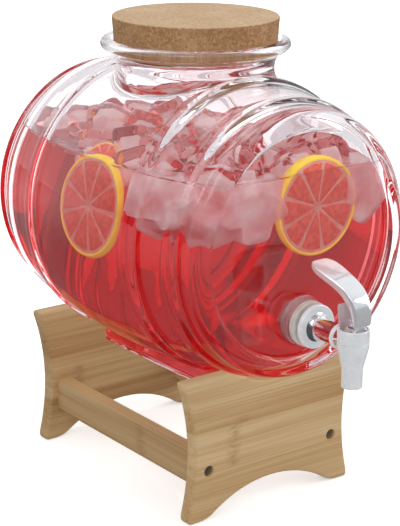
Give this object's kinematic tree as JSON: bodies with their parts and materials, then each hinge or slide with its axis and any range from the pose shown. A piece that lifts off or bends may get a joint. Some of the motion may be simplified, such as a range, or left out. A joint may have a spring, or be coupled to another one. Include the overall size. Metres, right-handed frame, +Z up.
{
  "type": "cocktail dispenser",
  "caption": "Glass barrel drink dispenser with a lever tap and a cork stopper, lying in a bamboo cradle stand.",
  "frame": {"origin": "on the table, under the middle of the dispenser's overall width and depth", "axes": "+Z up, +X to the right of someone facing the tap, the tap points to -Y"},
  "size_m": [0.2206, 0.3174, 0.347],
  "materials": {
    "glass": "clear, polished",
    "cork": "agglomerated cork, matt",
    "bamboo": "laminated bamboo board, satin",
    "bamboo_rail": "bamboo bar, satin",
    "dowel_wood": "turned beech, plain",
    "screw_steel": "zinc plated",
    "chrome": "bright chrome plating",
    "stainless": "bright stainless",
    "silicone": "translucent white silicone",
    "black_rubber": "matt",
    "nut_plastic": "moulded white"
  },
  "bodies": {
    "stand": {"stand_front_panel": "bamboo", "stand_rear_panel": "bamboo", "stand_left_rail": "bamboo_rail", "stand_right_rail": "bamboo_rail", "stand_screws": "screw_steel", "rail_dowels": "dowel_wood"},
    "vessel": {"glass_vessel": "glass", "tap_body": "chrome", "outer_washer": "silicone", "inner_washer": "silicone", "retaining_nut": "nut_plastic", "tap_bonnet": "chrome", "stem_ring": "black_rubber", "lever_pin": "stainless"},
    "cork": {"cork_stopper": "cork"},
    "lever": {"tap_lever": "chrome"},
    "valve": {"valve_stem": "stainless", "valve_plug": "silicone", "return_spring": "stainless"}
  },
  "joints": [
    {"name": "vessel_lift", "type": "slide", "parent": "stand", "child": "vessel", "axis": [0, 0, 1], "range_m": [0, 0.12]},
    {"name": "cork_lift", "type": "slide", "parent": "vessel", "child": "cork", "axis": [0, 0, 1], "range_m": [0, 0.06]},
    {"name": "lever_pull", "type": "hinge", "parent": "vessel", "child": "lever", "pos_m": [0, -0.1522, 0.1567], "axis": [1, 0, 0], "range_deg": [0, 25], "stiffness_Nm_per_rad": 0.3, "springref_deg": -5.73},
    {"name": "valve_lift", "type": "slide", "parent": "vessel", "child": "valve", "axis": [0, 0, 1], "range_m": [0, 0.00195], "deforming": ["return_spring"]}
  ],
  "couplings": [
    {"joint": "valve_lift", "follows": "lever_pull", "m_per_rad": 0.0044556}
  ]
}
